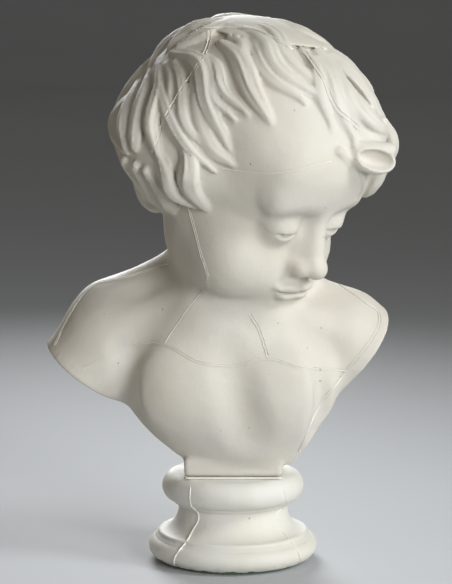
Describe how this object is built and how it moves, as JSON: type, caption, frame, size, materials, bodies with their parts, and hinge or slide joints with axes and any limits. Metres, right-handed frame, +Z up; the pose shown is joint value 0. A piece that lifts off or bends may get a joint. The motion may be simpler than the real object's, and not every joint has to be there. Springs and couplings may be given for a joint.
{
  "type": "portrait-style bust on a socle",
  "caption": "Child's head and shoulders with curly hair, cast hollow, open at the back, held on a round turned socle by a threaded rod, with a felt pad beneath.",
  "frame": {"origin": "centre of the felt pad's underside, on the socle's axis", "axes": "+Z up along the socle's axis, -Y the front of the chest, +X to the right as seen from the front; the head turns about 38 degrees towards +X"},
  "size_m": [0.2531, 0.1915, 0.4077],
  "materials": {
    "bust_plaster": "matt cast plaster, slightly warm, with raised mould lines",
    "socle_plaster": "matt cast plaster, smoothed on the turned mouldings",
    "bedding_plaster": "matt, rough plaster bed",
    "zinc_steel": "dull zinc plating",
    "felt": "dense wool felt"
  },
  "bodies": {
    "root": {"bust_shell": "bust_plaster", "socle": "socle_plaster", "plaster_bed": "bedding_plaster", "tie_rod": "zinc_steel", "upper_washer": "zinc_steel", "upper_nut": "zinc_steel", "lower_washer": "zinc_steel", "lower_nut": "zinc_steel", "felt_pad": "felt"}
  },
  "joints": []
}
